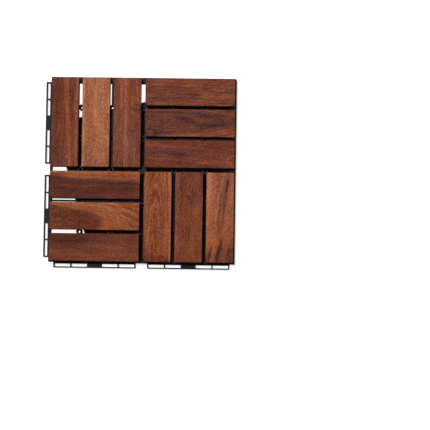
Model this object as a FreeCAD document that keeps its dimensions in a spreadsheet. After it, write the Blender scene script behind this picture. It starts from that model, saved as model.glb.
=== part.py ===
import FreeCAD, Part
import os
import Sketcher

# An interlocking deck tile: twelve hardwood slats, three in each quarter and turned a quarter
# turn from one quarter to the next, screwed from below onto one moulded plastic base.
# Two sides of the base carry slotted loops, and the other two a hollow tongue wall whose
# tongues drop into the loops of the next tile.
#
# Frame: +Z up, the origin on the ground under the middle of the tile.
# The loops are on the -X and -Y sides, the tongue walls on the +X and +Y sides.

SIZES = {
    # slats
    "slat_width": 44.0,
    "slat_thickness": 12.0,
    "slat_gap": 5.6,              # between two slats of one quarter
    "centre_gap": 6.8,            # between two quarters, and between two laid tiles
    "slat_edge_radius": 1.0,      # the eased edges round the walking surface
    "slat_corner_radius": 0.8,
    # base moulding
    "base_height": 12.0,
    "foot_height": 2.0,           # what the feet stand below the grid
    "rib_thickness": 2.5,
    "end_rib_inset": 2.0,         # the rib under the slat ends, in from those ends
    "wall_thickness": 3.5,        # edge wall, and so the tongues too
    "wall_corner_radius": 2.0,
    "channel_wall_thickness": 3.0,
    "channel_roof_thickness": 2.0,
    "node_diameter": 9.5,         # ring at each crossing of the grid
    "node_hole_diameter": 4.0,
    "centre_foot_diameter": 12.0,
    # interlock
    "loop_inset": 5.6,            # a loop's ends, in from the slat ends beside them
    "loop_thickness": 5.0,
    "loop_inner_bar": 2.5,
    "loop_rail": 2.2,
    "loop_end_bar": 2.3,
    "loop_bridge": 2.3,
    "loop_block": 24.0,
    "loop_corner_radius": 1.0,
    "mating_clearance": 0.35,
    # screws and their bosses
    "boss_diameter": 12.0,
    "boss_floor": 3.0,            # plastic between the screw head and the slat
    "counterbore_diameter": 8.4,
    "screw_hole_diameter": 4.0,
    "screw_diameter": 3.5,
    "screw_head_diameter": 7.0,
    "screw_length": 12.0,
    "screw_point": 3.0,
    "screw_play": 0.05,           # round the shank in the slat, and under the head
    "recess_width": 4.2,
    "recess_slot": 0.9,
    "recess_depth": 1.0,
}

SLATS_PER_QUARTER = 3
QUARTERS = ["back_left", "back_right", "front_right", "front_left"]   # each a clockwise quarter turn on
SLAT_PLACES = ["inner", "middle", "outer"]                            # from the middle of the tile out
UP = FreeCAD.Vector(0, 0, 1)


class Length:
    """A length in mm: its value, and the expression on the sheet that gives it."""

    def __init__(self, value, text):
        self.value = value
        self.text = text

    def __neg__(self):
        return Length(-self.value, f"(-{self.text})")

    def __add__(self, other):
        return Length(self.value + other.value, f"({self.text} + {other.text})")

    def __sub__(self, other):
        return Length(self.value - other.value, f"({self.text} - {other.text})")

    def __mul__(self, factor):
        return Length(self.value * factor, f"({self.text} * {factor})")

    def __truediv__(self, divisor):
        return Length(self.value / divisor, f"({self.text} / {divisor})")


def size(alias):
    return Length(SIZES[alias], f"sizes.{alias}")


doc = FreeCAD.newDocument("deck_tile")
sheet = doc.addObject("Spreadsheet::Sheet", "sizes")
for row, (alias, value) in enumerate(SIZES.items(), start=1):
    sheet.set(f"A{row}", alias)
    sheet.set(f"B{row}", str(value))
    sheet.setAlias(f"B{row}", alias)
doc.recompute()

# Plan of a quarter. "across" counts the slats from the middle of the tile outwards,
# "along" runs with their length. Both start at the middle of the tile.
zero = Length(0.0, "0")
slat_pitch = size("slat_width") + size("slat_gap")
slat_length = size("slat_width") * SLATS_PER_QUARTER + size("slat_gap") * (SLATS_PER_QUARTER - 1)
first_slat = (size("centre_gap") + size("slat_width")) / 2
slat_lines = [first_slat + slat_pitch * i for i in range(SLATS_PER_QUARTER)]
gap_lines = [line + slat_pitch / 2 for line in slat_lines[:-1]]
wood_edge = size("centre_gap") / 2 + slat_length
slat_middle = size("centre_gap") / 2 + slat_length / 2
half_rib = size("rib_thickness") / 2
end_rib = size("centre_gap") / 2 + size("end_rib_inset")

# Edge of the base. Loop and wall share the joint between two tiles.
joint_free = size("centre_gap") - size("mating_clearance") - size("loop_inner_bar")
wall_outer = wood_edge + joint_free / 2
wall_inner = wall_outer - size("wall_thickness")
channel_width = size("loop_rail") + size("mating_clearance") * 2
channel_inner = wall_inner - channel_width
channel_back = channel_inner - size("channel_wall_thickness")
grid_top = size("base_height")
grid_bottom = size("foot_height")
loop_top = grid_bottom + size("loop_thickness")
window_width = size("wall_thickness") + size("mating_clearance") * 2

# Loops, in plan. Each has a block in its middle and two windows on either side of it,
# given here by where they start and end from the loop's middle.
loop_middle = slat_middle
half_loop = slat_length / 2 - size("loop_inset")
window_inner = wall_outer + size("loop_inner_bar")
window_outer = window_inner + window_width
loop_outer = window_outer + size("loop_rail")
half_block = size("loop_block") / 2
window_length = (half_loop - half_block - size("loop_bridge") - size("loop_end_bar")) / 2
window_starts = [half_block, half_block + window_length + size("loop_bridge")]
windows_after = [(start, start + window_length) for start in window_starts]
window_spans = [(-end, -start) for start, end in reversed(windows_after)] + windows_after

# Screws stand on the slats' centre lines, under their first and last thirds.
screw_spots = [(across, along) for across in slat_lines for along in (slat_lines[0], slat_lines[-1])]
node_spots = [(across, along) for across in [zero] + gap_lines for along in gap_lines]
head_seat = grid_top - size("boss_floor")
countersink_depth = (size("screw_head_diameter") - size("screw_hole_diameter")) / 2 + size("screw_play")


def plane_of(body, role):
    return next(item for item in body.Origin.OriginFeatures if item.Role == role)


def new_sketch(body, name, level=zero):
    """A level sketch in the body, at a height above its ground plane."""
    sketch = body.newObject("Sketcher::SketchObject", name)
    sketch.AttachmentSupport = (plane_of(body, "XY_Plane"), [""])
    sketch.MapMode = "FlatFace"
    sketch.AttachmentOffset = FreeCAD.Placement(UP * level.value, FreeCAD.Rotation())
    sketch.setExpression("AttachmentOffset.Base.z", level.text)
    return sketch


def fix(sketch, kind, geometry, point, length):
    """Hold a point at a distance from the sketch's origin, or on its axis where that is nought."""
    if length is zero:
        axis = -2 if kind == "DistanceX" else -1
        sketch.addConstraint(Sketcher.Constraint("PointOnObject", geometry, point, axis))
        return
    index = sketch.addConstraint(Sketcher.Constraint(kind, -1, 1, geometry, point, length.value))
    sketch.setExpression(f"Constraints[{index}]", length.text)


def polygon(sketch, corners):
    """A closed outline whose sides are level or upright, from corners given as lengths."""
    first = sketch.GeometryCount
    points = [FreeCAD.Vector(x.value, y.value, 0) for x, y in corners]
    sides = len(points)
    for i in range(sides):
        sketch.addGeometry(Part.LineSegment(points[i], points[(i + 1) % sides]), False)
    for i in range(sides):
        sketch.addConstraint(Sketcher.Constraint("Coincident", first + i, 2, first + (i + 1) % sides, 1))
        upright = abs(points[i].x - points[(i + 1) % sides].x) < 1e-6
        sketch.addConstraint(Sketcher.Constraint("Vertical" if upright else "Horizontal", first + i))
        fix(sketch, "DistanceX" if upright else "DistanceY", first + i, 1, corners[i][0 if upright else 1])


def rectangle(sketch, west, south, east, north):
    polygon(sketch, [(west, south), (east, south), (east, north), (west, north)])


def circle(sketch, x, y, diameter):
    centre = FreeCAD.Vector(x.value, y.value, 0)
    index = sketch.addGeometry(Part.Circle(centre, UP, diameter.value / 2), False)
    fix(sketch, "DistanceX", index, 3, x)
    fix(sketch, "DistanceY", index, 3, y)
    constraint = sketch.addConstraint(Sketcher.Constraint("Diameter", index, diameter.value))
    sketch.setExpression(f"Constraints[{constraint}]", diameter.text)


def pad(body, name, sketch, height):
    feature = body.newObject("PartDesign::Pad", name)
    feature.Profile = sketch
    feature.setExpression("Length", height.text)
    doc.recompute()
    return feature


def pocket_up(body, name, sketch, depth=None):
    """Cut upwards from the sketch, right through unless a depth is given."""
    before = body.Shape.Volume
    feature = body.newObject("PartDesign::Pocket", name)
    feature.Profile = sketch
    feature.Reversed = True
    if depth is None:
        feature.Type = "ThroughAll"
    else:
        feature.setExpression("Length", depth.text)
    doc.recompute()
    if not body.Shape.Volume < before:
        raise RuntimeError(f"{name} cut nothing")
    return feature


def turn(body, name, features, copies, span):
    """Repeat features about the upright axis, the last copy a span in degrees from the first."""
    pattern = body.newObject("PartDesign::PolarPattern", name)
    pattern.Originals = features
    pattern.Axis = (plane_of(body, "Z_Axis"), [""])
    pattern.Angle = span
    pattern.Occurrences = copies
    body.Tip = pattern
    doc.recompute()
    return pattern


def anywhere(point):
    return True


def upright_edges(feature, test):
    """Edges that stand upright, as corners in plan do, where their ends pass a test."""
    names = []
    for i, edge in enumerate(feature.Shape.Edges, start=1):
        if len(edge.Vertexes) == 2:
            low, high = (vertex.Point for vertex in edge.Vertexes)
            if abs(low.x - high.x) + abs(low.y - high.y) < 1e-6 and test(low):
                names.append(f"Edge{i}")
    return names


def level_edges(feature, level):
    """Edges that lie in the level plane at a height."""
    names = []
    for i, edge in enumerate(feature.Shape.Edges, start=1):
        box = edge.BoundBox
        if max(abs(box.ZMin - level.value), abs(box.ZMax - level.value)) < 1e-4:
            names.append(f"Edge{i}")
    return names


def circles_at(feature, level, diameter):
    """Round edges of one diameter that lie at a height."""
    names = []
    for name in level_edges(feature, level):
        curve = feature.Shape.getElement(name).Curve
        if isinstance(curve, Part.Circle) and abs(curve.Radius - diameter.value / 2) < 1e-4:
            names.append(name)
    return names


def ease(body, name, feature, edge_names, radius):
    fillet = body.newObject("PartDesign::Fillet", name)
    fillet.Base = (feature, edge_names)
    fillet.setExpression("Radius", radius.text)
    doc.recompute()
    return fillet


def make_slat(label, quarter, across):
    """One slat: a plank with eased edges and two screw holes from below, on the base."""
    body = doc.addObject("PartDesign::Body", label)
    body.Label = label
    half_width = size("slat_width") / 2
    half_length = slat_length / 2
    outline = new_sketch(body, label + "_outline")
    rectangle(outline, -half_width, -half_length, half_width, half_length)
    plank = pad(body, label + "_plank", outline, size("slat_thickness"))
    uprights = upright_edges(plank, anywhere)
    corners = ease(body, label + "_corners", plank, uprights, size("slat_corner_radius"))
    rim = level_edges(corners, size("slat_thickness"))
    ease(body, label + "_rim", corners, rim, size("slat_edge_radius"))
    holes = new_sketch(body, label + "_hole_plan")
    reach = (slat_lines[-1] - slat_lines[0]) / 2
    for y in (-reach, reach):
        circle(holes, zero, y, size("screw_diameter") + size("screw_play") * 2)
    pocket_up(body, label + "_holes", holes, size("screw_length") - size("boss_floor") + size("screw_play"))
    x, y = quarter_spot(quarter, across, slat_middle)
    body.Placement = FreeCAD.Placement(FreeCAD.Vector(), FreeCAD.Rotation(UP, -90 * quarter))
    body.setExpression("Placement.Base.x", x.text)
    body.setExpression("Placement.Base.y", y.text)
    body.setExpression("Placement.Base.z", grid_top.text)
    return body


def quarter_spot(quarter, across, along):
    """A place in the back left quarter, carried clockwise to another quarter."""
    return [(-across, along), (along, across), (across, -along), (-along, -across)][quarter]


def turned_copies(source, angles):
    """Links to an object, each turned about the upright axis by an angle in degrees."""
    links = []
    for angle in angles:
        link = doc.addObject("App::Link", f"{source.Name}_at_{angle}")
        link.LinkedObject = source
        link.Placement = FreeCAD.Placement(FreeCAD.Vector(), FreeCAD.Rotation(UP, angle))
        links.append(link)
    return links


def negative(length):
    return zero if length is zero else -length


def make_quarter_grid():
    """The back left quarter of the grid, without the tile's edge.

    Its ribs lie under the slats' centre lines, along the inner gap, under the slat ends, and
    across the slats on the gap lines. Its rings and screw bosses are feet as well.
    """
    body = doc.addObject("PartDesign::Body", "quarter_grid")
    plate_plan = new_sketch(body, "plate_plan", grid_bottom)
    open_side = end_rib - half_rib
    in_wall = wall_inner + half_rib
    rectangle(plate_plan, -in_wall, open_side, open_side, in_wall)
    pad(body, "plate", plate_plan, grid_top - grid_bottom)

    across_ribs = [slat_lines[0], gap_lines[0], slat_lines[1], slat_lines[2]]
    across_starts = [-open_side] + [rib + half_rib for rib in across_ribs]
    across_ends = [rib - half_rib for rib in across_ribs] + [wall_inner]
    along_starts = [rib + half_rib for rib in [end_rib] + gap_lines]
    along_ends = [rib - half_rib for rib in gap_lines] + [wall_inner]
    cell_plan = new_sketch(body, "cell_plan")
    for near, far in zip(across_starts, across_ends):
        for low, high in zip(along_starts, along_ends):
            rectangle(cell_plan, -far, low, -near, high)
    pocket_up(body, "cells", cell_plan)

    post_plan = new_sketch(body, "post_plan")
    through_plan = new_sketch(body, "through_hole_plan")
    counterbore_plan = new_sketch(body, "counterbore_plan")
    for across, along in node_spots:
        circle(post_plan, negative(across), along, size("node_diameter"))
        circle(through_plan, negative(across), along, size("node_hole_diameter"))
    for across, along in screw_spots:
        circle(post_plan, -across, along, size("boss_diameter"))
        circle(through_plan, -across, along, size("screw_hole_diameter"))
        circle(counterbore_plan, -across, along, size("counterbore_diameter"))
    pad(body, "posts", post_plan, grid_top)
    pocket_up(body, "through_holes", through_plan)
    counterbores = pocket_up(body, "counterbores", counterbore_plan, head_seat)
    countersinks = body.newObject("PartDesign::Chamfer", "countersinks")
    rims = circles_at(counterbores, head_seat, size("screw_hole_diameter"))
    countersinks.Base = (counterbores, rims)
    countersinks.setExpression("Size", countersink_depth.text)
    doc.recompute()
    return body


def angle_outline(inner, outer):
    """The plan of an angle along the +X and +Y sides, between two distances from the middle."""
    foot = half_rib - wall_outer
    return [(inner, foot), (outer, foot), (outer, outer), (foot, outer), (foot, inner), (inner, inner)]


def make_edge():
    """The edge of the base: a square wall, two loops on -X and on -Y, a channel along +X and +Y."""
    body = doc.addObject("PartDesign::Body", "edge")
    height = grid_top - grid_bottom
    square_plan = new_sketch(body, "square_plan", grid_bottom)
    rectangle(square_plan, -wall_outer, -wall_outer, wall_outer, wall_outer)
    square = pad(body, "square", square_plan, height)
    ease(body, "square_corners", square, upright_edges(square, anywhere), size("wall_corner_radius"))

    loop_plan = new_sketch(body, "loop_plan", grid_bottom)
    for middle in (loop_middle, -loop_middle):
        rectangle(loop_plan, -loop_outer, middle - half_loop, half_rib - wall_outer, middle + half_loop)
        for start, end in window_spans:
            rectangle(loop_plan, -window_outer, middle + start, -window_inner, middle + end)
    loops = pad(body, "loops", loop_plan, size("loop_thickness"))
    both_sides = turn(body, "loops_of_both_sides", [loops], 2, 90)
    reach = loop_outer.value - 1e-3
    corners = upright_edges(both_sides, lambda point: min(point.x, point.y) < -reach)
    ease(body, "loop_corners", both_sides, corners, size("loop_corner_radius"))

    inside_plan = new_sketch(body, "inside_plan")
    rectangle(inside_plan, -wall_inner, -wall_inner, wall_inner, wall_inner)
    pocket_up(body, "inside", inside_plan)

    channel_wall_plan = new_sketch(body, "channel_wall_plan", grid_bottom)
    polygon(channel_wall_plan, angle_outline(channel_back, channel_inner))
    pad(body, "channel_wall", channel_wall_plan, height)
    channel_roof_plan = new_sketch(body, "channel_roof_plan", grid_top - size("channel_roof_thickness"))
    polygon(channel_roof_plan, angle_outline(channel_back, wall_inner + half_rib))
    pad(body, "channel_roof", channel_roof_plan, size("channel_roof_thickness"))
    return body


def make_loop_room():
    """What the next tile's loops take out of the +X and +Y sides.

    The rails run behind the wall, and each bar of a loop passes the wall in a notch. The
    tongues are what stays of the wall between the notches.
    """
    clearance = size("mating_clearance")
    run_plan = doc.addObject("Sketcher::SketchObject", "rail_run_plan")
    notch_plan = doc.addObject("Sketcher::SketchObject", "notch_plan")
    bar_starts = [-half_loop] + [end for start, end in window_spans]
    bar_ends = [start for start, end in window_spans] + [half_loop]
    for middle in (loop_middle, -loop_middle):
        rectangle(run_plan, channel_inner, middle - half_loop - clearance,
                  wall_inner, middle + half_loop + clearance)
        for start, end in zip(bar_starts, bar_ends):
            rectangle(notch_plan, wall_inner - clearance, middle + start - clearance,
                      wall_outer + clearance, middle + end + clearance)
    pieces = []
    for plan, name in ((run_plan, "rail_run"), (notch_plan, "notches")):
        piece = doc.addObject("Part::Extrusion", name)
        piece.Base = plan
        piece.DirMode = "Custom"
        piece.Dir = UP
        piece.Solid = True
        piece.setExpression("LengthFwd", (loop_top + clearance).text)
        pieces.append(piece)
    room = doc.addObject("Part::MultiFuse", "loop_room")
    room.Shapes = pieces + turned_copies(pieces[0], [90]) + turned_copies(pieces[1], [90])
    return room


def make_base():
    """The base moulding, in one piece: four quarters of grid, the edge and a foot in the middle."""
    quarter_grid = make_quarter_grid()
    centre_foot = doc.addObject("Part::Cylinder", "centre_foot")
    centre_foot.setExpression("Radius", (size("centre_foot_diameter") / 2).text)
    centre_foot.setExpression("Height", grid_top.text)
    moulding = doc.addObject("Part::MultiFuse", "moulding")
    quarters = [quarter_grid] + turned_copies(quarter_grid, [-90, -180, -270])
    moulding.Shapes = quarters + [make_edge(), centre_foot]
    base = doc.addObject("Part::Cut", "base_grid")
    base.Label = "base_grid"
    base.Base = moulding
    base.Tool = make_loop_room()
    base.Refine = True
    doc.recompute()
    return base


def make_screw():
    """One countersunk screw, point up, with the face of its head at nought and a cross recess."""
    body = doc.addObject("PartDesign::Body", "screw_pattern")
    shank = size("screw_diameter") / 2
    head = size("screw_head_diameter") / 2
    length = size("screw_length")
    profile = body.newObject("Sketcher::SketchObject", "screw_profile")
    profile.AttachmentSupport = (plane_of(body, "XZ_Plane"), [""])
    profile.MapMode = "FlatFace"
    corners = [(zero, zero), (head, zero), (shank, head - shank),
               (shank, length - size("screw_point")), (zero, length)]
    points = [FreeCAD.Vector(x.value, y.value, 0) for x, y in corners]
    for i in range(len(points)):
        profile.addGeometry(Part.LineSegment(points[i], points[(i + 1) % len(points)]), False)
    for i, (x, y) in enumerate(corners):
        profile.addConstraint(Sketcher.Constraint("Coincident", i, 2, (i + 1) % len(points), 1))
        fix(profile, "DistanceX", i, 1, x)
        fix(profile, "DistanceY", i, 1, y)
    turned = body.newObject("PartDesign::Revolution", "screw_turned")
    turned.Profile = profile
    turned.ReferenceAxis = (profile, ["V_Axis"])
    turned.Angle = 360
    doc.recompute()
    half_width = size("recess_width") / 2
    half_slot = size("recess_slot") / 2
    recess = new_sketch(body, "recess_plan")
    polygon(recess, [(half_slot, -half_width), (half_slot, -half_slot), (half_width, -half_slot),
                     (half_width, half_slot), (half_slot, half_slot), (half_slot, half_width),
                     (-half_slot, half_width), (-half_slot, half_slot), (-half_width, half_slot),
                     (-half_width, -half_slot), (-half_slot, -half_slot), (-half_slot, -half_width)])
    pocket_up(body, "recess", recess, size("recess_depth"))
    return body


def make_screws():
    """All the screws, as links to the one pattern, in one group."""
    pattern = make_screw()
    links = []
    level = head_seat - (size("screw_hole_diameter") - size("screw_diameter")) / 2
    for quarter in range(len(QUARTERS)):
        for across, along in screw_spots:
            x, y = quarter_spot(quarter, across, along)
            link = doc.addObject("App::Link", f"screw_{len(links) + 1}")
            link.LinkedObject = pattern
            link.setExpression("Placement.Base.x", x.text)
            link.setExpression("Placement.Base.y", y.text)
            link.setExpression("Placement.Base.z", level.text)
            links.append(link)
    group = doc.addObject("Part::Compound", "screws")
    group.Label = "screws"
    group.Links = links
    return group


subparts = [make_base()]
for quarter, quarter_name in enumerate(QUARTERS):
    for place, across in zip(SLAT_PLACES, slat_lines):
        subparts.append(make_slat(f"slat_{quarter_name}_{place}", quarter, across))
subparts.append(make_screws())
doc.recompute()

for item in doc.Objects:
    if "Invalid" in item.State or "Error" in item.State:
        raise RuntimeError(f"{item.Name} is {item.State}")
for subpart in subparts:
    if subpart.Shape.isNull() or not subpart.Shape.isValid():
        raise RuntimeError(f"{subpart.Label} has no valid shape")

os.makedirs("parts", exist_ok=True)
for subpart in subparts:
    shape = subpart.Shape
    print(f"{subpart.Label}: {len(shape.Solids)} solid, {shape.Volume / 1000:.2f} cm3")
    shape.exportStep(f"parts/{subpart.Label}.step")
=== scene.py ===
# %% [markdown]
# This lesson dresses an interlocking deck tile: twelve short hardwood boards, screwed from below
# to one black plastic grid. The CAD frame already has every piece at its real size, so the work
# here is what a camera sees: the boards' worn edges and figure, the sheen of the moulded plastic
# and the steel of the screws. Everything is in metres, with the tile standing on the floor at
# nought and the walking surface facing up.

# %% Load the frame
import math
from dataclasses import dataclass
from types import SimpleNamespace

import bmesh
import bpy
from mathutils import Matrix, Vector, noise


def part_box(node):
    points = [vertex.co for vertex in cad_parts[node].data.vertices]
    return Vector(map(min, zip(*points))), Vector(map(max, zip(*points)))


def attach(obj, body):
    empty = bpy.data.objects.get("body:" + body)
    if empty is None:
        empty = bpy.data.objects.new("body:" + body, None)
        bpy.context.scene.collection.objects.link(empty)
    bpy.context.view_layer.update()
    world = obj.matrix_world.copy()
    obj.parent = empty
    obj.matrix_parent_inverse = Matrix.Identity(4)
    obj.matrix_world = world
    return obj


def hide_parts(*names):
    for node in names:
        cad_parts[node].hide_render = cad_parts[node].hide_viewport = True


MM = 0.001

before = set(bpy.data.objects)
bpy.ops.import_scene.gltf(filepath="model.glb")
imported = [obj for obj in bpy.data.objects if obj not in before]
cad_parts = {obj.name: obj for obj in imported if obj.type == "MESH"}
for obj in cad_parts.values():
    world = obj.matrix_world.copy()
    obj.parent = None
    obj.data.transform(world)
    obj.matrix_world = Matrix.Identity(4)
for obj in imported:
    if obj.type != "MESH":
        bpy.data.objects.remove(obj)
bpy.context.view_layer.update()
print("pieces in the frame:", len(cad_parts))

# %% [markdown]
# Colours are given as 8-bit screen values, but shaders work in linear light. They could
# be converted one by one in the colour picker. One small function does it for all of them, so
# every colour below can be written as it is seen.

# %% Colours
WHITE = (1.0, 1.0, 1.0, 1.0)


def screen(red, green, blue):
    """A screen colour, 0 to 255, as the linear colour that a shader needs."""
    def to_linear(level):
        share = level / 255
        return share / 12.92 if share <= 0.04045 else ((share + 0.055) / 1.055) ** 2.4
    return (to_linear(red), to_linear(green), to_linear(blue), 1.0)


print("half grey on the screen, in linear light:", round(screen(128, 128, 128)[0], 3))

# %% [markdown]
# The finishes below are formulas: a distance to the heart of the tree, a wobble, a few masks.
# They could be wired by hand in the shader editor, but a board needs over a hundred nodes, and
# that many wires can't be read. These helpers make a node and wire it in one call, so that a sum
# is written as a sum.

# %% Node helpers
def new_material(name):
    """A material with its shader, and the node tree that they sit in."""
    material = bpy.data.materials.new(name)
    material.use_nodes = True
    tree = material.node_tree
    return material, tree, tree.nodes["Principled BSDF"]


def plug(tree, socket, value):
    """Give an input a link or a plain value."""
    if isinstance(value, bpy.types.NodeSocket):
        tree.links.new(value, socket)
    else:
        socket.default_value = value


def put(tree, kind, inputs, output=0, **settings):
    """Add a node, set it up, feed its inputs and return one of its outputs."""
    node = tree.nodes.new(kind)
    for name, value in settings.items():
        setattr(node, name, value)
    for name, value in inputs.items():
        plug(tree, node.inputs[name], value)
    return node.outputs[output]


print("node helpers for Blender", bpy.app.version_string)

# %% [markdown]
# A Math node takes two values at a time, so a longer sum is a chain of them. Most of a finish is
# the same few sums again and again: a start value with shares of some patterns added, or the
# distance to a place. Each gets a name here, and the chain behind it is made once.

# %% Sums
def maths(tree, operation, *values):
    """One step of a sum, on values or on sockets."""
    node = tree.nodes.new("ShaderNodeMath")
    node.operation = operation
    for socket, value in zip(node.inputs, values):
        plug(tree, socket, value)
    return node.outputs[0]


def total(tree, first, *rest):
    for value in rest:
        first = maths(tree, "ADD", first, value)
    return first


def less(tree, value, taken):
    return maths(tree, "SUBTRACT", value, taken)


def times(tree, value, factor):
    return maths(tree, "MULTIPLY", value, factor)


def shares(tree, start, *parts):
    """A start value with a share of several others added, each given as (value, share)."""
    return total(tree, start, *(times(tree, value, share) for value, share in parts))


def reach(tree, x, y):
    """The distance from nought to the point x, y."""
    point = put(tree, "ShaderNodeCombineXYZ", {"X": x, "Y": y})
    return put(tree, "ShaderNodeVectorMath", {0: point}, output="Value", operation="LENGTH")


def split(tree, vector):
    """The X, Y and Z of a vector."""
    parts = tree.nodes.new("ShaderNodeSeparateXYZ")
    tree.links.new(vector, parts.inputs[0])
    return tuple(parts.outputs)


print("sums: total, less, times, shares, reach and split")

# %% [markdown]
# A mask says where something is: 0 outside, 1 inside and a soft step between them. Noise says how
# nature varies it. Blender's noise is as fine in every direction, so it is read at a stretched
# point to draw it out along the wood, and 0.5 is taken off it, so that it takes away from a tone
# as often as it adds to it.

# %% Masks and noise
# The Mix node has one output for numbers, one for vectors and this one for colours.
COLOUR_OUT = 2


def ease_in(tree, value, low, high):
    """0 below low, 1 above high, and a smooth step between them. Works downhill too."""
    return put(tree, "ShaderNodeMapRange", {"Value": value, "From Min": low, "From Max": high},
               interpolation_type="SMOOTHSTEP")


def noise_of(tree, point, stretch, detail, roughness=0.55, where=(0, 0, 0)):
    """Noise from -0.5 to 0.5. Stretch is how many times a mm it varies in each direction."""
    scaled = put(tree, "ShaderNodeMapping",
                 {"Vector": point, "Scale": stretch, "Location": where})
    value = put(tree, "ShaderNodeTexNoise",
                {"Vector": scaled, "Scale": 1.0, "Detail": detail, "Roughness": roughness})
    return less(tree, value, 0.5)


def mix_colours(tree, share, first, second):
    """The first colour where the share is 0, the second where it is 1."""
    return put(tree, "ShaderNodeMix", {"Factor": share, "A": first, "B": second},
               output=COLOUR_OUT, data_type="RGBA")


def local_point(tree, centre, turn):
    """A point in mm from a piece's own middle, X turned to run along the piece."""
    place = tree.nodes.new("ShaderNodeTexCoord").outputs["Object"]
    return put(tree, "ShaderNodeMapping",
               {"Vector": place, "Location": centre, "Rotation": (0, 0, turn),
                "Scale": (MM, MM, MM)}, vector_type="TEXTURE")


print("patterns are read in mm:", round(1 / MM), "to the metre")

# %% [markdown]
# Wood looks real when it is cut from a tree. Each board here sits at its own place beside the
# heart of a log, and its colour comes from the distance to that heart. A heart far to the side
# gives straight grain, one close under the face gives the pointed arches of flat-sawn boards, and
# the ends of the board show the rings as arcs with no extra work. Acacia adds dark streaks that
# ignore the rings, short flecks and open pores, and now and then a small knot that the rings
# bend round.
#
# The tone of a board runs from 0, its darkest wood, to 1, its palest. Streaks, knots and shaded
# parts add to that tone or take from it, and a ramp of four browns turns it into colour.

# %% What a board is
@dataclass
class Knot:
    """The foot of a branch. Along, side and size are in mm, strength is a share of the tone."""
    along: float
    side: float
    size: float
    strength: float


@dataclass
class Board:
    """What makes one board different from its neighbours. Lengths are in mm from its middle.

    heart is how far to the side and how far up the log's heart lies, below nought where it is
    under the middle. lean is how much further off it gets, sideways and down, per mm of length.
    ring is the usual width of a ring, and slant is how far the grain runs sideways per mm. The
    strengths are shares of the tone: figure for the rings, streaks for broad bands of them, fibre
    for what runs with the grain, fleck for short spots and curl for ripples across the grain.
    Marks are streaks, fades, ovals and tongues.
    """
    browns: list
    heart: tuple
    lean: tuple
    ring: float
    figure: float
    streaks: float
    fleck: float
    tone: float
    marks: tuple
    fibre: float = 0.6
    curl: float = 0.1
    slant: float = 0.0
    knots: tuple = ()


print("a board is described by", len(Board.__dataclass_fields__), "values")

# %% [markdown]
# Two boards can share a tone and still be told apart by their marks: a band of dark heartwood, a
# pale side, a growth ring that a bump in the trunk closed into an oval. Marks could be painted on
# an image for each board, but paint blurs close up. Here a mark is a small formula of the place
# on the board. It stays sharp, and the waver that bends the grain bends it too, so it looks grown
# and not laid on.

# %% Streaks and fades
# How far a whole swing of the waver carries a mark sideways or along, in mm.
STREAK_WANDER, FADE_WANDER, SIDE_WANDER = 6.0, 14.0, 9.0


def streak(side, width, strength, slope=0.0, start=-90, end=90, soft=12.0):
    """A dark (below nought) or pale streak along the grain, fading out at its two ends."""
    def mark(tree, along, across, waver):
        middle = total(tree, times(tree, along, slope), side, times(tree, waver, STREAK_WANDER))
        body = ease_in(tree, maths(tree, "ABSOLUTE", less(tree, across, middle)), width, 0.0)
        ends = times(tree, ease_in(tree, along, start - soft, start + soft),
                     ease_in(tree, along, end + soft, end - soft))
        return times(tree, times(tree, body, ends), strength)
    return mark


def fade(start, end, strength, slope=0.0):
    """A slow change of tone along the board. Its boundary may slant."""
    def mark(tree, along, across, waver):
        place = shares(tree, along, (across, slope), (waver, FADE_WANDER))
        return times(tree, ease_in(tree, place, start, end), strength)
    return mark


def side_fade(start, end, strength, slope=0.0):
    """A slow change of tone from one side of the board to the other."""
    def mark(tree, along, across, waver):
        place = shares(tree, across, (along, slope), (waver, SIDE_WANDER))
        return times(tree, ease_in(tree, place, start, end), strength)
    return mark


print("streaks wander up to", STREAK_WANDER / 2, "mm to each side")

# %% [markdown]
# Two marks are not streaks. Where the saw cuts through a bump of the trunk, a growth ring closes
# into a long oval, and where the dark heartwood ends inside a board, it ends in a rounded tongue.
# Several streaks could be laid side by side for either, but their ends would never join. A
# distance gives the oval, and two soft boundaries multiplied together give the tongue.

# %% Ovals and tongues
# A tongue's tip bows by this much per mm squared and its top leans by this much per mm. Both
# edges are soft over this many mm to each side.
EYE_WANDER = 5.0
TONGUE_BOW, TONGUE_LEAN = 0.06, 0.15
TIP_SOFT, TOP_SOFT = 7, 3


def eye(along_at, side_at, length, width, strength, soft=0.3):
    """A ring of tone: a growth ring that a bump in the trunk closed into a long oval."""
    def mark(tree, along, across, waver):
        sideways = total(tree, across, -side_at, times(tree, waver, EYE_WANDER))
        distance = reach(tree, times(tree, less(tree, along, along_at), 1 / length),
                         times(tree, sideways, 1 / width))
        off = maths(tree, "ABSOLUTE", less(tree, distance, 1.0))
        return times(tree, ease_in(tree, off, soft, 0.0), strength)
    return mark


def tongue(tip, top, strength):
    """Heartwood that reaches in from the left end as far as the tip and stays below the top."""
    def mark(tree, along, across, waver):
        bowed = total(tree, along, across,
                      times(tree, times(tree, across, across), TONGUE_BOW),
                      times(tree, waver, FADE_WANDER))
        leaning = shares(tree, across, (along, TONGUE_LEAN), (waver, STREAK_WANDER))
        inside = times(tree, ease_in(tree, bowed, tip + TIP_SOFT, tip - TIP_SOFT),
                       ease_in(tree, leaning, top + TOP_SOFT, top - TOP_SOFT))
        return times(tree, inside, strength)
    return mark


print("ovals wander up to", EYE_WANDER / 2, "mm to each side")

# %% [markdown]
# Acacia comes in mixed batches: one plank is nearly chocolate and the next is honey. One brown
# with noise over it would give twelve equal boards. So there are seven tones, and each is four
# browns from the darkest wood to the palest. Four are enough, because every finer change comes
# from the figure.

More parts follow.
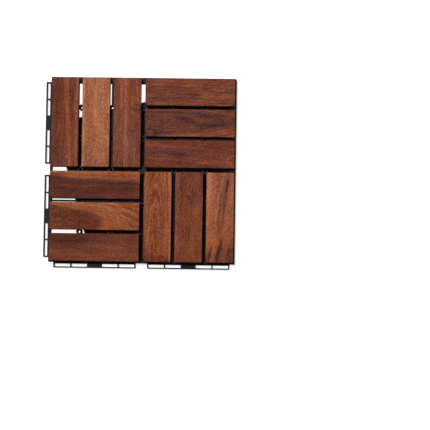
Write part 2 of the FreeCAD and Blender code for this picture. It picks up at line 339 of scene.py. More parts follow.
# %% The tones of acacia
UMBER = [(50, 23, 19), (88, 43, 31), (118, 60, 38), (158, 91, 56)]
CHESTNUT = [(56, 27, 22), (98, 49, 34), (130, 70, 44), (166, 102, 68)]
RUSSET = [(70, 31, 22), (112, 56, 34), (148, 81, 48), (182, 110, 66)]
HONEY = [(78, 39, 31), (128, 74, 49), (166, 103, 69), (206, 141, 102)]
COCOA = [(48, 31, 32), (92, 49, 39), (126, 67, 44), (158, 94, 63)]
AMBER = [(74, 36, 30), (126, 70, 47), (165, 99, 66), (204, 138, 100)]
CLARET = [(54, 27, 24), (98, 47, 35), (130, 64, 43), (164, 94, 62)]
DARK_PORE = (40, 18, 13)
print("browns in each tone:", len(UMBER))

# %% [markdown]
# The tile has four quarters of three boards, each quarter turned a quarter turn from the next.
# Chance could choose every board, but a real tile is known by its boards, so each one is written
# down: where it was cut from the log, its tone and its marks. The three at the back left lie away
# from the viewer: a red-brown one with a pale band, a honey one with hardly any figure, and a
# darker one with a small knot near its right edge.
#
# Along runs to the right on boards that lie across the view and away from the viewer on the
# others. Side runs away from the viewer on the first and to the left on the others.

# %% Back left boards
BOARDS = {
    ("back_left", "outer"): Board(
        CHESTNUT, heart=(-70, -40), lean=(0.02, 0.0), ring=2.6,
        figure=0.4, streaks=0.4, fibre=1.1, fleck=1.0, tone=0.4,
        marks=(streak(-6, 6, 0.32, slope=0.055, soft=20),
               streak(-19, 5, 0.26),
               streak(-12, 4, -0.08, start=0),
               side_fade(3, 12, -0.12))),
    ("back_left", "middle"): Board(
        HONEY, heart=(60, -90), lean=(0.0, 0.02), ring=3.0,
        figure=0.2, streaks=0.2, fibre=0.8, fleck=1.1, curl=0.4, tone=0.52,
        marks=(streak(20, 4, 0.24),
               fade(-10, -75, -0.12),
               streak(2, 4, 0.1, start=10, end=50))),
    ("back_left", "inner"): Board(
        COCOA, heart=(90, -30), lean=(0.01, 0.03), ring=2.4,
        figure=0.4, streaks=0.5, fibre=1.2, fleck=1.2, tone=0.54,
        marks=(streak(8, 5, 0.22, start=20),
               streak(1, 5, 0.24, soft=40),
               streak(19, 6, 0.08),
               streak(-17, 6, -0.12, end=10),
               fade(-30, -75, -0.06),
               eye(24, -15, 5, 8, -0.14, soft=0.5),
               eye(34, -13, 22, 6, 0.1)),
        knots=(Knot(22, -16, 9, -0.14), Knot(20, -16, 4, -0.2))),
}
print("boards described:", len(BOARDS))

# %% [markdown]
# The three at the back right lie across the view. The furthest is plain, since its heart is far to
# the side. The middle one has the heart close under its face, so its rings make dark arches, and
# streaks cross them. The third is a claret red with a soft dark patch in its left half.

# %% Back right boards
BOARDS.update({
    ("back_right", "outer"): Board(
        COCOA, heart=(160, -60), lean=(0.03, 0.0), ring=2.4,
        figure=0.6, streaks=0.2, fibre=1.5, fleck=0.9, curl=0.2, tone=0.48,
        marks=(fade(-30, -75, -0.08, slope=0.8),
               streak(14, 8, 0.08),
               streak(-6, 7, 0.12, slope=-0.05, start=20),
               streak(-6, 7, 0.12, start=-66, end=-42),
               streak(5, 8, 0.14, start=42, end=72),
               streak(-3, 5, -0.08, slope=-0.05, start=-16, end=22))),
    ("back_right", "middle"): Board(
        COCOA, heart=(1, -5), lean=(-0.01, 0.12), ring=2.6, slant=0.03,
        figure=0.8, streaks=0.2, fleck=1.0, curl=0.3, tone=0.385,
        marks=(streak(4, 6, -0.18, slope=-0.38, start=-18, end=14, soft=10),
               streak(-3, 5, -0.15, start=12, end=60),
               streak(11, 5, -0.15, start=16, end=36, soft=10),
               streak(12, 4, -0.15, start=46, end=62, soft=10),
               eye(34, 4, 36, 8, -0.11, soft=0.5),
               streak(17, 3, -0.14, start=-60, end=20),
               side_fade(-13, -20, 0.24, slope=-0.06),
               eye(-62, -16, 9, 6, -0.24, soft=0.5),
               streak(-15, 4, -0.18, start=-54, end=-40, soft=8),
               side_fade(14, 22, 0.08))),
    ("back_right", "inner"): Board(
        CLARET, heart=(-60, -60), lean=(0.03, 0.04), ring=2.4, slant=-0.08,
        figure=0.5, streaks=0.3, fibre=0.8, fleck=1.0, curl=0.4, tone=0.39,
        marks=(streak(-13, 6, 0.12, start=10),
               fade(40, 75, 0.08),
               streak(12, 6, 0.1, end=-30),
               streak(1, 9, -0.2, start=-44, end=-6, soft=16),
               streak(14, 5, -0.14, slope=-0.1, start=24, end=60),
               eye(74, -10, 14, 7, 0.2),
               eye(-74, -6, 22, 14, -0.08))),
})
print("boards described:", len(BOARDS))

# %% [markdown]
# The three at the front left lie across the view too. The first is dark heartwood with a pale strip
# along its far side, which a soft step across the board gives. The second has a dark tongue that
# comes in from the left and fine lines that slant at its right end. The third is plain and dark.

# %% Front left boards
BOARDS.update({
    ("front_left", "inner"): Board(
        UMBER, heart=(-120, -20), lean=(0.02, 0.0), ring=2.6,
        figure=0.3, streaks=0.3, fibre=1.0, fleck=0.9, tone=0.29,
        marks=(side_fade(6, 13, 0.52, slope=0.06),
               streak(6, 3, -0.06, slope=-0.05),
               side_fade(16, 21, 0.08),
               fade(30, 75, 0.1),
               streak(-11, 9, 0.1, start=10, soft=30),
               streak(-6, 3, -0.2, start=-52, end=-46, soft=6))),
    ("front_left", "middle"): Board(
        RUSSET, heart=(-50, -46), lean=(0.14, 0.05), ring=2.0, slant=0.22,
        figure=0.4, streaks=0.2, fleck=0.9, curl=0.6, tone=0.59,
        marks=(tongue(8, 7, -0.38),
               fade(30, 75, -0.08),
               streak(23, 2.5, 0.12, slope=-0.5, start=10),
               streak(29, 2.5, -0.16, slope=-0.5, start=16),
               streak(35, 2.5, 0.14, slope=-0.5, start=24),
               streak(41, 2.5, -0.16, slope=-0.5, start=34),
               streak(38, 3, -0.5, slope=-0.9, start=55, end=61, soft=5),
               side_fade(14, 22, 0.06))),
    ("front_left", "outer"): Board(
        UMBER, heart=(50, -100), lean=(0.02, 0.02), ring=2.6,
        figure=0.3, streaks=0.3, fibre=0.9, fleck=1.0, tone=0.43,
        marks=(fade(-30, 50, 0.12),
               side_fade(2, 14, -0.16),
               streak(8, 9, -0.16, slope=-0.06, end=-10, soft=20),
               streak(-14, 11, 0.14),
               streak(6, 4, -0.12, start=28, end=44),
               streak(-7, 8, 0.18, end=-20, soft=20),
               streak(-1, 6, 0.14, start=6, end=50))),
})
print("boards described:", len(BOARDS))

# %% [markdown]
# The three at the front right lie away from the viewer. The first was cut almost through the heart,
# so long narrow ovals lie inside one another. The second has a small knot in its further half. The
# third is pale, with slanting grain and two nearly black streaks.

# %% Front right boards
BOARDS.update({
    ("front_right", "inner"): Board(
        RUSSET, heart=(5, -2.4), lean=(0.02, 0.1), ring=2.6,
        figure=0.9, streaks=0.1, fibre=0.8, fleck=1.1, curl=0.5, tone=0.48,
        marks=(streak(3, 5, -0.08, start=-30, end=16),
               streak(3, 6, 0.2, start=38, end=52, soft=6),
               streak(-19, 5, 0.18),
               fade(-52, -70, -0.3, slope=-0.3),
               eye(-6, 3, 42, 7, -0.12),
               eye(-6, 3, 36, 5, 0.1),
               eye(-8, 3, 28, 3.5, -0.14))),
    ("front_right", "middle"): Board(
        CHESTNUT, heart=(-20, -80), lean=(0.02, 0.02), ring=2.4,
        figure=0.4, streaks=0.2, fibre=0.9, fleck=1.0, curl=0.3, tone=0.5,
        marks=(eye(48, 0, 19, 12, -0.1, soft=0.6),
               streak(0, 12, 0.1, start=4, end=14, soft=8),
               eye(31, 0, 8, 6, 0.08, soft=0.5),
               streak(0, 7, -0.1, start=19, end=27, soft=6),
               streak(0, 8, -0.1, start=-36, end=-16),
               streak(0, 5, -0.12, start=-50, end=-45, soft=6),
               streak(18, 5, 0.12, end=0, soft=20),
               streak(-19, 5, -0.08, start=0)),
        knots=(Knot(32, 0, 7, -0.04), Knot(32, 0, 2.6, -0.36))),
    ("front_right", "outer"): Board(
        AMBER, heart=(-40, -60), lean=(0.12, 0.02), ring=2.6, slant=0.16,
        figure=0.3, streaks=0.2, fibre=0.6, fleck=0.9, curl=0.4, tone=0.395,
        marks=(streak(-3, 3, -0.75, slope=-0.157, start=42, end=58, soft=10),
               streak(-4, 3, -0.2, slope=-0.13, start=0, end=38, soft=10),
               streak(-13, 4.5, -0.5, slope=-0.267, start=-68, end=-36, soft=14),
               fade(-34, -62, -0.2, slope=0.3),
               streak(8, 9, -0.16, slope=-0.15, end=-46),
               streak(2.4, 2.5, -0.16, slope=-0.22, start=-72, end=20),
               streak(0, 3, 0.12, slope=-0.35, start=-60, end=-5, soft=8),
               streak(-15, 9, -0.06, end=-36, soft=20),
               streak(18, 7, 0.16, start=5, soft=25),
               side_fade(0, 12, 0.14, slope=-0.02))),
})
print("boards described:", len(BOARDS))

# %% [markdown]
# Rings are the yearly coats of the tree, cut open by the saw. Blender's wave texture could draw
# them, but its bands are all as wide, and real rings are not. So a one-dimensional noise is read
# at the distance to the heart. A knot is the foot of a branch: a dark spot, longer along the
# grain, that pushes the rings outwards.

# %% Rings and knots
# A knot is squashed by a share along the board, its core is a share of its size, and it pushes the
# rings out by so many times its size. The grain wanders by so many mm.
RING_ROUGHNESS = 0.6
KNOT_SQUASH, KNOT_CORE, KNOT_PUSH = 0.6, 0.1, 1.6
WANDER = 8.0


def ring_noise(tree, distance, spacing, seed, detail=3.0):
    """Bands of uneven width, read at a distance from the heart."""
    position = total(tree, maths(tree, "DIVIDE", distance, spacing), seed)
    value = put(tree, "ShaderNodeTexNoise",
                {"W": position, "Scale": 1.0, "Detail": detail, "Roughness": RING_ROUGHNESS},
                noise_dimensions="1D")
    return less(tree, value, 0.5)


def knot_spot(tree, along, side, knot):
    """How near a point is to a knot: 1 in its core and 0 outside it."""
    distance = reach(tree, times(tree, less(tree, along, knot.along), KNOT_SQUASH),
                     less(tree, side, knot.side))
    return ease_in(tree, distance, knot.size, knot.size * KNOT_CORE)


def heart_distance(tree, board, wood):
    """How far a point lies from the heart of the log, in mm."""
    across_heart = total(tree, wood.side, -board.heart[0], times(tree, wood.along, board.lean[0]),
                         times(tree, wood.waver, WANDER))
    above_heart = total(tree, wood.up, -board.heart[1], times(tree, wood.along, board.lean[1]),
                        times(tree, wood.sway, WANDER))
    return shares(tree, reach(tree, across_heart, above_heart),
                  *((spot, knot.size * KNOT_PUSH) for spot, knot in wood.spots))


print("grain and rings wander up to", WANDER / 2, "mm to each side")

# %% [markdown]
# Fibres, flecks, ripples and pores follow the grain. Each is ordinary noise, drawn out along the
# board, and read at a point that is first moved to the side. That makes the grain waver, slant as
# the board was cut, and part round a knot. The pores are cut off sharply, so that only short dark
# dashes stay.

# %% Grain
# Each noise has how often it varies per mm along, across and through, its detail and roughness.
WAVER = (0.016, 0.03, 0.03), 2, 0.5
SWAY = (0.012, 0.04, 0.04), 2, 0.5
FIBRE = (0.05, 0.7, 0.7), 4.0, 0.65
FLECK = (0.28, 0.5, 0.5), 3.0, 0.6
CURL = (0.40, 0.28, 0.28), 2.0, 0.6
CLOUD = (0.03, 0.06, 0.06), 2.0, 0.5
PORE = (0.26, 1.9, 1.9), 2.5, 0.6
PORE_CUT = 0.07, 0.13
KNOT_PARTING = -0.8
BAND_OF_RINGS = 3.6


def grain_point(tree, board, wood):
    """The point, moved to the side as the grain runs."""
    parting = [(times(tree, spot, less(tree, wood.side, knot.side)), KNOT_PARTING)
               for spot, knot in wood.spots]
    side = shares(tree, wood.side, (wood.waver, WANDER), (wood.along, board.slant), *parting)
    return put(tree, "ShaderNodeCombineXYZ", {"X": wood.along, "Y": side, "Z": wood.up})


def wood_patterns(tree, board, point, seed):
    """All the patterns that the tone, the gloss and the relief of a board are mixed from."""
    wood = SimpleNamespace()
    wood.along, wood.side, wood.up = split(tree, point)
    wood.waver = noise_of(tree, point, *WAVER, where=(seed, 0, 0))
    wood.sway = noise_of(tree, point, *SWAY, where=(0, seed, 0))
    wood.cloud = noise_of(tree, point, *CLOUD, where=(0, seed, seed))
    wood.spots = [(knot_spot(tree, wood.along, wood.side, knot), knot) for knot in board.knots]

    distance = heart_distance(tree, board, wood)
    wood.rings = ring_noise(tree, distance, board.ring, seed)
    wood.streaks = ring_noise(tree, distance, board.ring * BAND_OF_RINGS, seed, detail=1.0)

    grain = grain_point(tree, board, wood)
    wood.fibre = noise_of(tree, grain, *FIBRE, where=(0, 0, seed))
    wood.fleck = noise_of(tree, grain, *FLECK, where=(seed, seed, 0))
    wood.curl = noise_of(tree, grain, *CURL, where=(seed, 0, 0))
    wood.pores = ease_in(tree, noise_of(tree, grain, *PORE, where=(seed, 0, seed)), *PORE_CUT)
    return wood


print("a pore is about", round(0.5 / PORE[0][0], 1), "mm long")

# %% [markdown]
# The sawn ends of a board drink more oil than its faces. They are darker and duller, their rings
# stand out, and the flecks, which are long cells cut across, are faint. What turns away from the
# top is painted a little darker too: painted shade on the rims and sides. Separate materials would
# leave a hard line on every bevel, so the direction of the surface tells the parts apart, with a
# soft step between them.

# %% Ends and sides
# The steps are how squarely a face looks along the board or up, from 0 to 1. The rest are shares.
SAWN_STEP, PAINTED_SHADE_STEP = (0.6, 0.95), (0.99, 0.7)
# Faces that turn from the top get painted shade, by the second step and its share.
SAWN_RINGS, SAWN_FLECKS, SAWN_TONE, PAINTED_SIDE_SHADE = 0.8, -0.7, -0.12, -0.10
FLECK_TONE, PORE_TONE, CLOUD_TONE = 0.85, -0.26, 0.35


def ends_and_sides(tree, turn):
    """Two masks: how much a face looks along the board, and how much it turns from the top."""
    facing = put(tree, "ShaderNodeMapping",
                 {"Vector": tree.nodes.new("ShaderNodeTexCoord").outputs["Normal"],
                  "Rotation": (0, 0, turn)}, vector_type="TEXTURE")
    endways, _, upwards = split(tree, facing)
    # The second mask paints shade on rims and sides that turn from the top.
    return (ease_in(tree, maths(tree, "ABSOLUTE", endways), *SAWN_STEP),
            ease_in(tree, upwards, *PAINTED_SHADE_STEP))


def board_tone(tree, board, wood, sawn_end, painted_shade_away):
    """The tone of the wood, from 0 at its darkest to 1 at its palest."""
    rings = times(tree, times(tree, wood.rings, board.figure),
                  shares(tree, 1.0, (sawn_end, SAWN_RINGS)))
    flecks = times(tree,
                   shares(tree, times(tree, wood.fleck, board.fleck * FLECK_TONE),
                          (wood.curl, board.curl), (wood.pores, board.fleck * PORE_TONE)),
                   shares(tree, 1.0, (sawn_end, SAWN_FLECKS)))
    bands = shares(tree, total(tree, board.tone, rings),
                   (wood.streaks, board.streaks), (wood.fibre, board.fibre))
    # Painted shade: the share for faces that turn from the top darkens them.
    ground = shares(tree, total(tree, bands, flecks),
                    (wood.cloud, CLOUD_TONE), (sawn_end, SAWN_TONE), (painted_shade_away, PAINTED_SIDE_SHADE))
    marked = total(tree, ground, *(mark(tree, wood.along, wood.side, wood.waver)
                                   for mark in board.marks))
    return shares(tree, marked, *((spot, knot.strength) for spot, knot in wood.spots))


print("tone taken off a sawn end:", -SAWN_TONE)

# %% [markdown]
# The boards are oiled and not varnished: they shine a little along the fibres, hardly at all in
# the pores, and not like glass. A photograph of a plank could be wrapped round each board, but
# its ends and sides wouldn't agree with its face. The formulas do, since they are cut from one
# block of wood, so the tone becomes a colour, and the same patterns also make the dullness and a
# relief of a fifth of a millimetre.

# %% Wood finish
# Shares of a pattern in the colour, the dullness and the relief, and the relief's depth in metres.
RAMP_STOPS = (0.33, 0.66, 1.0)
PORE_COVER, WARM_HUE, RICH_COLOUR = 0.6, 0.012, 0.2
WOOD_DULL, DULL_FIBRE, DULL_PORE, DULL_END = 0.58, 0.25, 0.15, 0.2
RAISED_FIBRE, RAISED_RING, SUNK_PORE = 0.5, 0.35, -0.6
RELIEF_STRENGTH, RELIEF_DEPTH, OIL_SHINE = 0.55, 0.00022, 0.06


def brown_ramp(tree, tone, browns):
    """Four browns, dark to pale, over the tone."""
    ramp = tree.nodes.new("ShaderNodeValToRGB")
    stops = ramp.color_ramp.elements
    stops.remove(stops[1])
    stops[0].color = screen(*browns[0])
    for position, brown in zip(RAMP_STOPS, browns[1:]):
        stops.new(position).color = screen(*brown)
    tree.links.new(tone, ramp.inputs[0])
    return ramp.outputs[0]


def wood_finish(name, board, centre, turn, seed):
    """The oiled acacia of one board."""
    material, tree, shader = new_material(name)
    wood = wood_patterns(tree, board, local_point(tree, centre, turn), seed)
    sawn_end, painted_shade_away = ends_and_sides(tree, turn)
    tone = board_tone(tree, board, wood, sawn_end, painted_shade_away)

    colour = mix_colours(tree, times(tree, wood.pores, PORE_COVER),
                         brown_ramp(tree, tone, board.browns), screen(*DARK_PORE))
    plug(tree, shader.inputs["Base Color"],
         put(tree, "ShaderNodeHueSaturation",
             {"Hue": shares(tree, 0.5, (wood.cloud, WARM_HUE)),
              "Saturation": shares(tree, 1.0, (wood.sway, RICH_COLOUR)), "Color": colour}))
    plug(tree, shader.inputs["Roughness"],
         shares(tree, WOOD_DULL, (wood.fibre, DULL_FIBRE), (wood.pores, DULL_PORE),
                (sawn_end, DULL_END)))
    relief = shares(tree, times(tree, wood.fibre, RAISED_FIBRE), (wood.rings, RAISED_RING),
                    (wood.pores, SUNK_PORE))
    plug(tree, shader.inputs["Normal"],
         put(tree, "ShaderNodeBump",
             {"Height": relief, "Strength": RELIEF_STRENGTH, "Distance": RELIEF_DEPTH}))
    shader.inputs["Specular IOR Level"].default_value = OIL_SHINE
    return material


print("depth of the relief in mm:", RELIEF_DEPTH / MM)

# %% [markdown]
# The boards on the real tile are planed, cut to length and then tumbled or sanded by hand, so no
# edge has quite the same roundness all the way along. A Bevel modifier on a cube could round them
# all alike. Instead each board starts as a fine grid, is drawn up to its thickness and has its
# corners and rims bevelled, so that it has enough points to be worn unevenly afterwards.

# %% Model a board
CELL = 2.0 * MM
CORNER_ROUND = 0.8 * MM
RIM_ROUND = 1.0 * MM
FOOT_ROUND = 0.4 * MM
# Edges that turn by more than this many radians are corners or rims of the board.
SQUARE = 1.0
LEVEL_WITH = 1e-6
SIDE_CUTS = (-0.25, 0.0, 0.25)


def rim_edges(mesh, level):
    """Edges of the outline at a height, where a level face meets an upright one."""
    return [edge for edge in mesh.edges
            if all(abs(vertex.co.z - level) < LEVEL_WITH for vertex in edge.verts)
            and edge.calc_face_angle(0.0) > SQUARE]


def round_off(mesh, edges, radius, segments):
    bmesh.ops.bevel(mesh, geom=edges, offset=radius, offset_type="OFFSET", segments=segments,
                    profile=0.5, affect="EDGES", material=-1, clamp_overlap=True)


def plank_mesh(length, width, thickness):
    """A plank about its middle, along X, with rounded corners and rims and a fine grid."""
    mesh = bmesh.new()
    bmesh.ops.create_grid(mesh, x_segments=round(length / CELL), y_segments=round(width / CELL),
                          size=0.5)
    bmesh.ops.scale(mesh, vec=(length, width, 1.0), verts=mesh.verts)
    bmesh.ops.translate(mesh, vec=(0, 0, -thickness / 2), verts=mesh.verts)
    grown = bmesh.ops.extrude_face_region(mesh, geom=mesh.faces[:], use_keep_orig=True)
    top = [item for item in grown["geom"] if isinstance(item, bmesh.types.BMVert)]
    bmesh.ops.translate(mesh, vec=(0, 0, thickness), verts=top)
    bmesh.ops.recalc_face_normals(mesh, faces=mesh.faces)
    uprights = [edge for edge in mesh.edges
                if abs(edge.verts[0].co.z - edge.verts[1].co.z) > thickness / 2
                and edge.calc_face_angle(0.0) > SQUARE]
    round_off(mesh, uprights, CORNER_ROUND, segments=2)
    round_off(mesh, rim_edges(mesh, thickness / 2), RIM_ROUND, segments=3)
    round_off(mesh, rim_edges(mesh, -thickness / 2), FOOT_ROUND, segments=1)
    for share in SIDE_CUTS:
        bmesh.ops.bisect_plane(mesh, geom=mesh.verts[:] + mesh.edges[:] + mesh.faces[:],
                               plane_co=(0, 0, share * thickness), plane_no=(0, 0, 1))
    return mesh


print("a board has a grid point every", CELL / MM, "mm")

# %% [markdown]
# Wear takes wood away and never adds any. A Displace modifier could push the surface about, but it
# works both ways and knows nothing of edges. Here every point moves inwards a little by a smooth
# noise, more where the surface turns an edge and most in a nick, so the board stays inside the
# solid that it stands for.

# %% Wear a board
# Waves are how often the noise varies per mm, lifts keep it above nought, and wear is in mm.
SLOW_WAVES, QUICK_WAVES = (0.03, 0.06, 0.05), (0.11, 0.3, 0.3)
SLOW_LIFT, QUICK_LIFT, QUICK_SHIFT = 0.8, 0.7, 50
SLOW_WEAR, FACE_WEAR, EDGE_WEAR = 0.05, 0.015, 0.10
EDGE_REACH = 0.9 * RIM_ROUND
NICK_SQUASH, NICK_CURVE = (0.8, 0.7), 1.5


def waves(place, stretch, seed, shift=0):
    """Smooth noise from -1 to 1 at a place in mm."""
    return noise.noise(Vector((place.x * stretch[0], place.y * stretch[1],
                               place.z * stretch[2] + seed + shift)))


def wear(mesh, size, seed, nicks):
    """Move each point inwards: a little on the faces, more on the edges, most in a nick."""
    half = Vector(size) / 2
    mesh.normal_update()
    for vertex in mesh.verts:
        place = vertex.co / MM
        slow = waves(place, SLOW_WAVES, seed)
        quick = waves(place, QUICK_WAVES, seed, QUICK_SHIFT)
        sides_near = sum(half[axis] - abs(vertex.co[axis]) < EDGE_REACH for axis in range(3))
        depth = (SLOW_WEAR * (slow + SLOW_LIFT)
                 + (EDGE_WEAR if sides_near > 1 else FACE_WEAR) * (quick + QUICK_LIFT))
        for along, side, spread, deepest in nicks:
            away = math.hypot((place.x - along) * NICK_SQUASH[0], place.y - side,
                              (place.z - half.z / MM) * NICK_SQUASH[1])
            depth += deepest * max(0.0, 1 - away / spread) ** NICK_CURVE
        vertex.co -= vertex.normal * depth * MM


print("usual wear of an edge in mm:", round(SLOW_WEAR * SLOW_LIFT + EDGE_WEAR * QUICK_LIFT, 2))

# %% [markdown]
# A finished bmesh becomes an object of the scene in the same few lines each time, so they are a
# function. Nothing on the tile moves, so every piece of it rides on the root.

# %% Put a piece in the scene
def add_object(name, mesh, material):
    """Put a finished mesh in the scene."""
    data = bpy.data.meshes.new(name)
    mesh.to_mesh(data)
    mesh.free()
    data.materials.append(material)
    item = bpy.data.objects.new(name, data)
    bpy.context.scene.collection.objects.link(item)
    return item


def add_piece(name, mesh, material):
    """Put a finished mesh in the scene as a piece of the tile."""
    piece = add_object(name, mesh, material)
    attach(piece, "root")
    return piece


# %% [markdown]
# The frame knows where each board lies, so its box gives the length, the width and the place, and
# no size is typed twice. A board could be an object that is moved and turned, but a finished piece
# keeps its object at the origin. So the plank is made about its own middle, and its mesh is turned
# and moved. Four boards have lost a splinter or two on the rim. Each is given by its place along
# and across the board, how far it spreads and how deep it goes, all in mm.

# %% Boards in their places
NICKS = {
    ("front_right", "outer"): [(71.6, 9.0, 5.5, 1.1), (71.6, 2.0, 3.5, 0.5)],
    ("front_left", "middle"): [(-71.6, 16.0, 3.5, 0.5)],
    ("back_left", "inner"): [(71.6, -14.0, 3.0, 0.4)],
    ("back_right", "outer"): [(-40.0, -22.0, 3.0, 0.4)],
}

for number, (quarter, place) in enumerate(BOARDS):
    low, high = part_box(f"slat_{quarter}_{place}")
    middle, size = (low + high) / 2, high - low
    turn = 0.0 if size.x > size.y else math.pi / 2
    length, width = max(size.x, size.y), min(size.x, size.y)
    wear_seed, grain_seed = 7.3 * number, 3.7 * number + 1
    plank = plank_mesh(length, width, size.z)
    wear(plank, (length, width, size.z), wear_seed, NICKS.get((quarter, place), []))
    bmesh.ops.rotate(plank, cent=(0, 0, 0), matrix=Matrix.Rotation(turn, 3, "Z"),
                     verts=plank.verts)
    bmesh.ops.translate(plank, vec=middle, verts=plank.verts)
    finish = wood_finish(f"acacia_{quarter}_{place}", BOARDS[quarter, place], middle, turn,
                         grain_seed)
    piece = add_piece(f"board_{quarter}_{place}", plank, finish)
    for polygon in piece.data.polygons:
        polygon.use_smooth = True
    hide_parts(f"slat_{quarter}_{place}")
    print(piece.name, "faces:", len(piece.data.polygons), "nodes:", len(finish.node_tree.nodes))

# %% [markdown]
# The base is one moulding of black polypropylene. Its shape in the frame is already right, but a
# real mould never leaves a knife edge, and those edges are what catch the light. A Bevel modifier
# could round them, if the frame's mesh were not loose triangles that have to stay as they are. So
# a copy of it is merged into whole faces, and every sharp edge of the copy gets a small round.

# %% Model the base
EDGE_ROUND = 0.25 * MM
SAME_POINT = 0.002 * MM
FLAT = math.radians(0.5)
SHARP = math.radians(40)

moulding = bmesh.new()
moulding.from_mesh(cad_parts["base_grid"].data)
bmesh.ops.remove_doubles(moulding, verts=moulding.verts, dist=SAME_POINT)
bmesh.ops.dissolve_limit(moulding, angle_limit=FLAT, verts=moulding.verts, edges=moulding.edges)
sharp = [edge for edge in moulding.edges if edge.is_manifold and edge.calc_face_angle() > SHARP]
round_off(moulding, sharp, EDGE_ROUND, segments=2)
print("edges of the base rounded:", len(sharp))

# %% [markdown]
# Moulded black plastic is not black. It mirrors the sky softly, more so where the mould was
# polished by use, and the spark-eroded steel of the mould leaves a very fine grain. A plain dark
# colour would look like a hole. The finish is a near black with a cool cast, paler where it is
# scuffed, with a roughness that drifts slowly and a fine bump.

# %% Plastic finish
# Patterns are how often they vary per mm, and the depth of the grain is in metres.
CLEAN_PLASTIC, SCUFFED_PLASTIC = (8, 11, 15), (23, 29, 37)
PLASTIC_CLOUD, MOULD_GRAIN = (0.02, 0.02, 0.02), (2.2, 2.2, 2.2)
SCUFFS, SCUFF_STEP = ((0.25, 0.25, 0.6), 4.0, 0.7), (0.08, 0.3)
PLASTIC_DULL, DULL_CLOUD, DULL_SCUFF = 0.52, 0.2, 0.15
GRAIN_STRENGTH, GRAIN_DEPTH = 0.3, 0.00008
PLASTIC_SHINE, COOL_SHINE = 0.16, (0.72, 0.86, 1.0, 1.0)


def plastic_finish():
    material, tree, shader = new_material("black_polypropylene")
    point = local_point(tree, (0, 0, 0), 0.0)
    cloud = noise_of(tree, point, PLASTIC_CLOUD, 2.0)
    grain = noise_of(tree, point, MOULD_GRAIN, 2.0)
    scuffs = ease_in(tree, noise_of(tree, point, *SCUFFS), *SCUFF_STEP)
    plug(tree, shader.inputs["Base Color"],
         mix_colours(tree, scuffs, screen(*CLEAN_PLASTIC), screen(*SCUFFED_PLASTIC)))
    plug(tree, shader.inputs["Roughness"],
         shares(tree, PLASTIC_DULL, (cloud, DULL_CLOUD), (scuffs, DULL_SCUFF)))
    plug(tree, shader.inputs["Normal"],
         put(tree, "ShaderNodeBump",
             {"Height": grain, "Strength": GRAIN_STRENGTH, "Distance": GRAIN_DEPTH}))
    shader.inputs["Specular IOR Level"].default_value = PLASTIC_SHINE
    shader.inputs["Specular Tint"].default_value = COOL_SHINE
    return material


base = add_piece("base_moulding", moulding, plastic_finish())
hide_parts("base_grid")
print("base_moulding faces:", len(base.data.polygons))

# %% [markdown]
# The screws are plain steel and show only from below, in their holes under the grid. Their shape,
# with its cross recess, comes whole from the frame. Threads could be turned on them, but those sit
# in the wood where nothing sees them. Metal is known by what it mirrors, so the finish is a bare
# metal, with a gloss that is smeared a little by handling.

# %% Steel finish
BARE_STEEL = (176, 176, 172)
SMEAR, STEEL_DULL, DULL_SMEAR = (0.8, 0.8, 2.0), 0.34, 0.25


def steel_finish():
    material, tree, shader = new_material("plain_steel")
    smear = noise_of(tree, local_point(tree, (0, 0, 0), 0.0), SMEAR, 3.0)
    shader.inputs["Base Color"].default_value = screen(*BARE_STEEL)
    shader.inputs["Metallic"].default_value = 1.0
    plug(tree, shader.inputs["Roughness"], shares(tree, STEEL_DULL, (smear, DULL_SMEAR)))
    return material


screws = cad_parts["screws"]
screws.data.materials.clear()
screws.data.materials.append(steel_finish())
print("screws finished, faces:", len(screws.data.polygons))

# %% [markdown]
# The tile lies on a plain white floor that runs on into a white background. Strong lamps could
# make it white, but they would bleach the wood too. So it glows to the camera alone, a little
# round the tile and more further off: the slots of the loops show white and no horizon shows.
# White also shows in the gaps next to the left and far edges: there the floor under the tile is
# painted light, glowing to the camera. Further in it doesn't glow and is painted darker to the
# camera, as painted shade, so the other gaps stay dark.

# %% Floor
# Metres from the tile's middle to its walls, and to where the floor starts and ends to whiten.
FLOOR_SIZE = 6.0
WALL, HAZE = 0.148, 3 * MM
NEAR, FAR = 0.35, 1.2
# The painted light under the tile ends at two lines: how far from its middle and how they slant.
LEFT_REACH, LEFT_SLANT = 0.1222, 0.295
FAR_REACH, FAR_SLANT = 0.1105, 0.25
FLOOR_DULL = 0.9
# Under the tile the camera sees the floor painted darker, as painted shade.
FLOOR_GREY, PALER_OUTSIDE, PAINTED_SHADE_UNDER = 0.2, 0.36, -0.11
PAINTED_GAP_GLOW, NEAR_GLOW, FAR_GLOW = 0.98, 0.78, 0.22


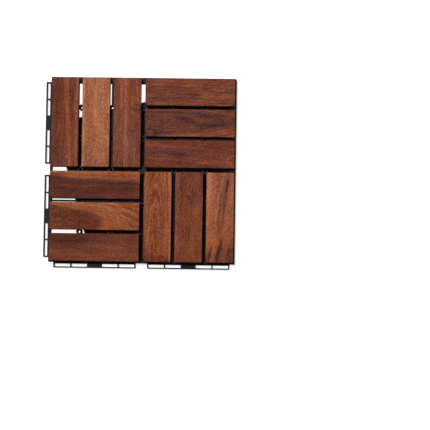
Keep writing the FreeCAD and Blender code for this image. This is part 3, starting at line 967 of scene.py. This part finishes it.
def white_floor():
    material, tree, shader = new_material("white_floor")
    seen = tree.nodes.new("ShaderNodeLightPath").outputs["Is Camera Ray"]
    x, y, _ = split(tree, tree.nodes.new("ShaderNodeTexCoord").outputs["Object"])
    away = maths(tree, "MAXIMUM", maths(tree, "ABSOLUTE", x), maths(tree, "ABSOLUTE", y))
    outside = ease_in(tree, away, WALL, WALL + HAZE)
    # Painted shade: to the camera the floor under the tile is darker than outside it.
    paler_out_painted_shade_under = total(tree, times(tree, outside, PALER_OUTSIDE), PAINTED_SHADE_UNDER)
    plug(tree, shader.inputs["Base Color"],
         total(tree, FLOOR_GREY, times(tree, seen, paler_out_painted_shade_under)))
    shader.inputs["Roughness"].default_value = FLOOR_DULL
    shader.inputs["Specular IOR Level"].default_value = 0.0

    # Painted light: near the left and far edges the floor under the tile glows to the camera.
    painted_light_left = ease_in(tree, shares(tree, x, (y, LEFT_SLANT)), -LEFT_REACH, -LEFT_REACH - MM)
    painted_light_far = ease_in(tree, shares(tree, y, (x, -FAR_SLANT)), FAR_REACH, FAR_REACH + MM)
    painted_gap_light = times(tree, maths(tree, "MAXIMUM", painted_light_left, painted_light_far), PAINTED_GAP_GLOW)
    glow = total(tree, painted_gap_light, times(tree, outside, less(tree, NEAR_GLOW, painted_gap_light)),
                 times(tree, ease_in(tree, away, NEAR, FAR), FAR_GLOW))
    shader.inputs["Emission Color"].default_value = WHITE
    plug(tree, shader.inputs["Emission Strength"], times(tree, seen, glow))
    return material


ground = bmesh.new()
bmesh.ops.create_grid(ground, x_segments=1, y_segments=1, size=FLOOR_SIZE)
floor = add_object("floor", ground, white_floor())
print("floor, metres across:", 2 * FLOOR_SIZE)

# %% [markdown]
# The world is the light that comes from everywhere. A bright white world would wash out the
# shadows between the boards. It is a dim white for the tile and a full white to the camera, so the
# background is white and the light on the object stays plain.

# %% World
SKY = 0.12

world = bpy.data.worlds.new("studio")
bpy.context.scene.world = world
world.use_nodes = True
air = world.node_tree
sky = air.nodes["Background"]
sky_seen = air.nodes.new("ShaderNodeLightPath").outputs["Is Camera Ray"]
sky.inputs["Color"].default_value = WHITE
plug(air, sky.inputs["Strength"], shares(air, SKY, (sky_seen, 1.0 - SKY)))
print("light of the sky:", SKY)

# %% [markdown]
# Three soft boxes light the tile. A single lamp overhead would be enough to see it by, but the
# black ribs and the rims of the boards need something to mirror. The key is nearly overhead, so
# its light falls evenly on the boards and reaches the ribs at the bottom of the gaps. The other
# two stand low on the right, one further away and one nearer, and graze the rims. Each lamp has a
# place and a size in metres and a power in watts.

# %% Lamps
LAMPS = {
    "key": ((-0.62, 0.60, 2.45), 0.5, 57.6),
    "fill": ((2.0, 1.6, 0.7), 1.0, 40.0),
    "low": ((1.6, -2.0, 0.5), 1.0, 26.0),
}


def soft_lamp(name, place, size, power):
    """A square soft box that faces the tile."""
    data = bpy.data.lights.new(name, "AREA")
    data.size = size
    data.energy = power
    lamp = bpy.data.objects.new(name, data)
    lamp.location = place
    lamp.rotation_euler = Vector(place).to_track_quat("Z", "Y").to_euler()
    bpy.context.scene.collection.objects.link(lamp)


for name, (place, size, power) in LAMPS.items():
    soft_lamp(name, place, size, power)
print("lamps:", ", ".join(LAMPS))

# %% [markdown]
# The camera looks almost straight down from a little under two metres, with a long lens. A short
# lens close by would show the tile as large, but with much more of the boards' sides. The camera
# stands about 15 cm to the right of the tile's middle and about 15 cm towards the viewer, so the
# boards' right-hand sides show in the gaps on the left, and the tile sits in the upper left of the
# frame.

# %% Camera
LENS, SENSOR = 98.2, 36.0
CAMERA_PLACE = (0.141, -0.160, 1.880)
CAMERA_TURN = (2.758, 0.705, 0.792)

camera_data = bpy.data.cameras.new("camera")
camera_data.lens = LENS
camera_data.sensor_width = SENSOR
camera = bpy.data.objects.new("camera", camera_data)
camera.location = CAMERA_PLACE
camera.rotation_euler = [math.radians(angle) for angle in CAMERA_TURN]
bpy.context.scene.collection.objects.link(camera)
bpy.context.scene.camera = camera
bpy.context.scene.view_settings.view_transform = "Standard"
print("camera, metres from the tile:", round(camera.location.length, 2))
